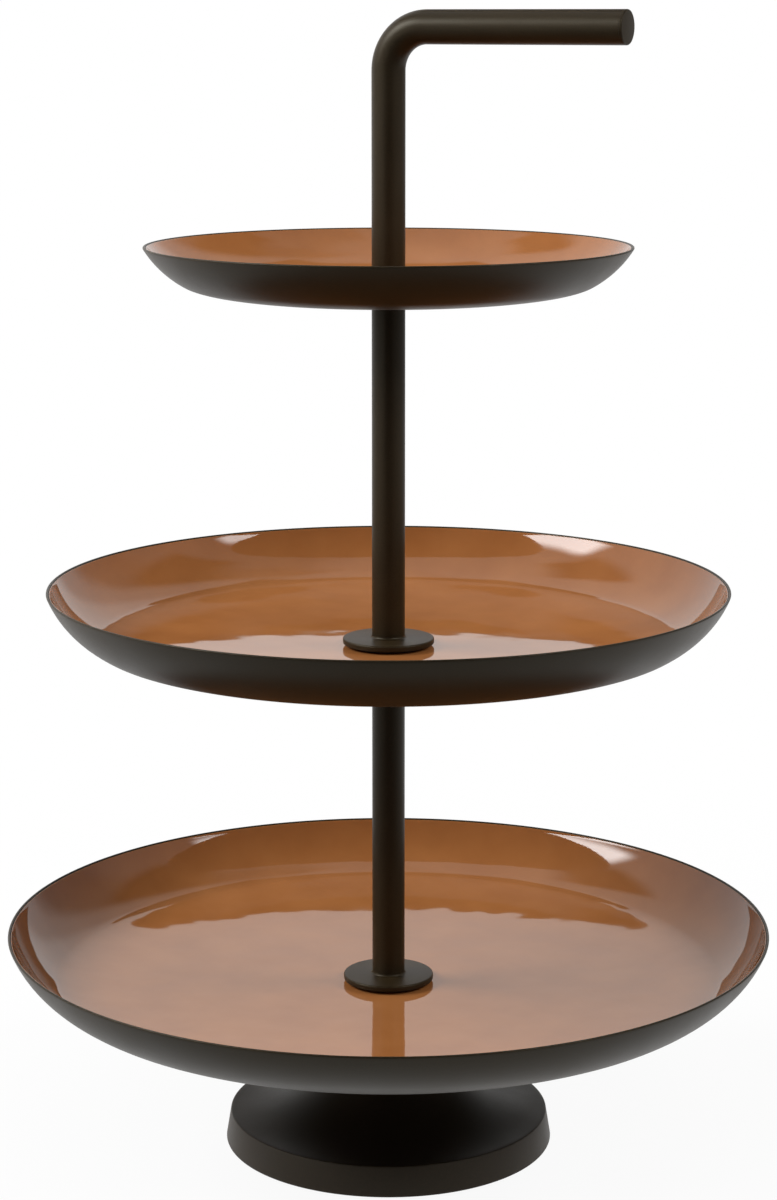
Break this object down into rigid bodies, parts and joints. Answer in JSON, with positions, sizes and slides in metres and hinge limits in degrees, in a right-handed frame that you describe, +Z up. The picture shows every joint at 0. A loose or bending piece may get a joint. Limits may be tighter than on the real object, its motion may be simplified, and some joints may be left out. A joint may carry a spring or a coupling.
{
  "type": "three-tier etagere",
  "caption": "Tiered serving stand: three round enamelled metal dishes on a screw-together column, with a pedestal foot below and a bent side handle on top.",
  "frame": {"origin": "on the column's axis, at the surface that the foot pads stand on", "axes": "+Z up along the column, +X along the handle's arm, from the column to its free end"},
  "size_m": [0.375, 0.375, 0.5564],
  "materials": {
    "bronze": "satin dark bronze, finely grained",
    "foot_bronze": "satin dark bronze, a little browner than the dishes",
    "enamel": "poured caramel enamel, very glossy and slightly wavy",
    "steel": "zinc-plated steel",
    "rubber": "matt black rubber"
  },
  "bodies": {
    "base": {"base_foot": "foot_bronze", "foot_pad_1": "rubber", "foot_pad_2": "rubber", "foot_pad_3": "rubber", "foot_pad_4": "rubber", "base_screw": "steel", "base_washer": "steel", "base_gasket": "rubber", "bottom_dish": "bronze", "bottom_dish_enamel": "enamel"},
    "lower_turn": {"lower_gasket": "rubber"},
    "lower_column": {"lower_flange": "bronze", "lower_tube": "bronze", "lower_tube_plug": "steel", "lower_stud": "steel", "lower_seat_gasket": "rubber", "middle_dish": "bronze", "middle_dish_enamel": "enamel"},
    "upper_turn": {"upper_gasket": "rubber"},
    "upper_column": {"upper_flange": "bronze", "upper_tube": "bronze", "upper_tube_plug": "steel", "upper_stud": "steel", "upper_seat_gasket": "rubber", "top_dish": "bronze", "top_dish_enamel": "enamel"},
    "handle_turn": {"handle_gasket": "rubber"},
    "handle": {"handle_flange": "bronze", "handle_tube": "bronze", "handle_end_cap": "bronze"}
  },
  "joints": [
    {"name": "lower_unscrew", "type": "hinge", "parent": "base", "child": "lower_turn", "pos_m": [0, 0, 0.0826], "axis": [0, 0, 1], "range_deg": [0, 2730]},
    {"name": "lower_rise", "type": "slide", "parent": "lower_turn", "child": "lower_column", "axis": [0, 0, 1], "range_m": [0, 0.0095]},
    {"name": "upper_unscrew", "type": "hinge", "parent": "lower_column", "child": "upper_turn", "pos_m": [0, 0, 0.2536], "axis": [0, 0, 1], "range_deg": [0, 2730]},
    {"name": "upper_rise", "type": "slide", "parent": "upper_turn", "child": "upper_column", "axis": [0, 0, 1], "range_m": [0, 0.0095]},
    {"name": "handle_unscrew", "type": "hinge", "parent": "upper_column", "child": "handle_turn", "pos_m": [0, 0, 0.4246], "axis": [0, 0, 1], "range_deg": [0, 2730]},
    {"name": "handle_rise", "type": "slide", "parent": "handle_turn", "child": "handle", "axis": [0, 0, 1], "range_m": [0, 0.0095]}
  ],
  "couplings": [
    {"joint": "lower_rise", "follows": "lower_unscrew", "m_per_rad": 0.00019894},
    {"joint": "upper_rise", "follows": "upper_unscrew", "m_per_rad": 0.00019894},
    {"joint": "handle_rise", "follows": "handle_unscrew", "m_per_rad": 0.00019894}
  ]
}
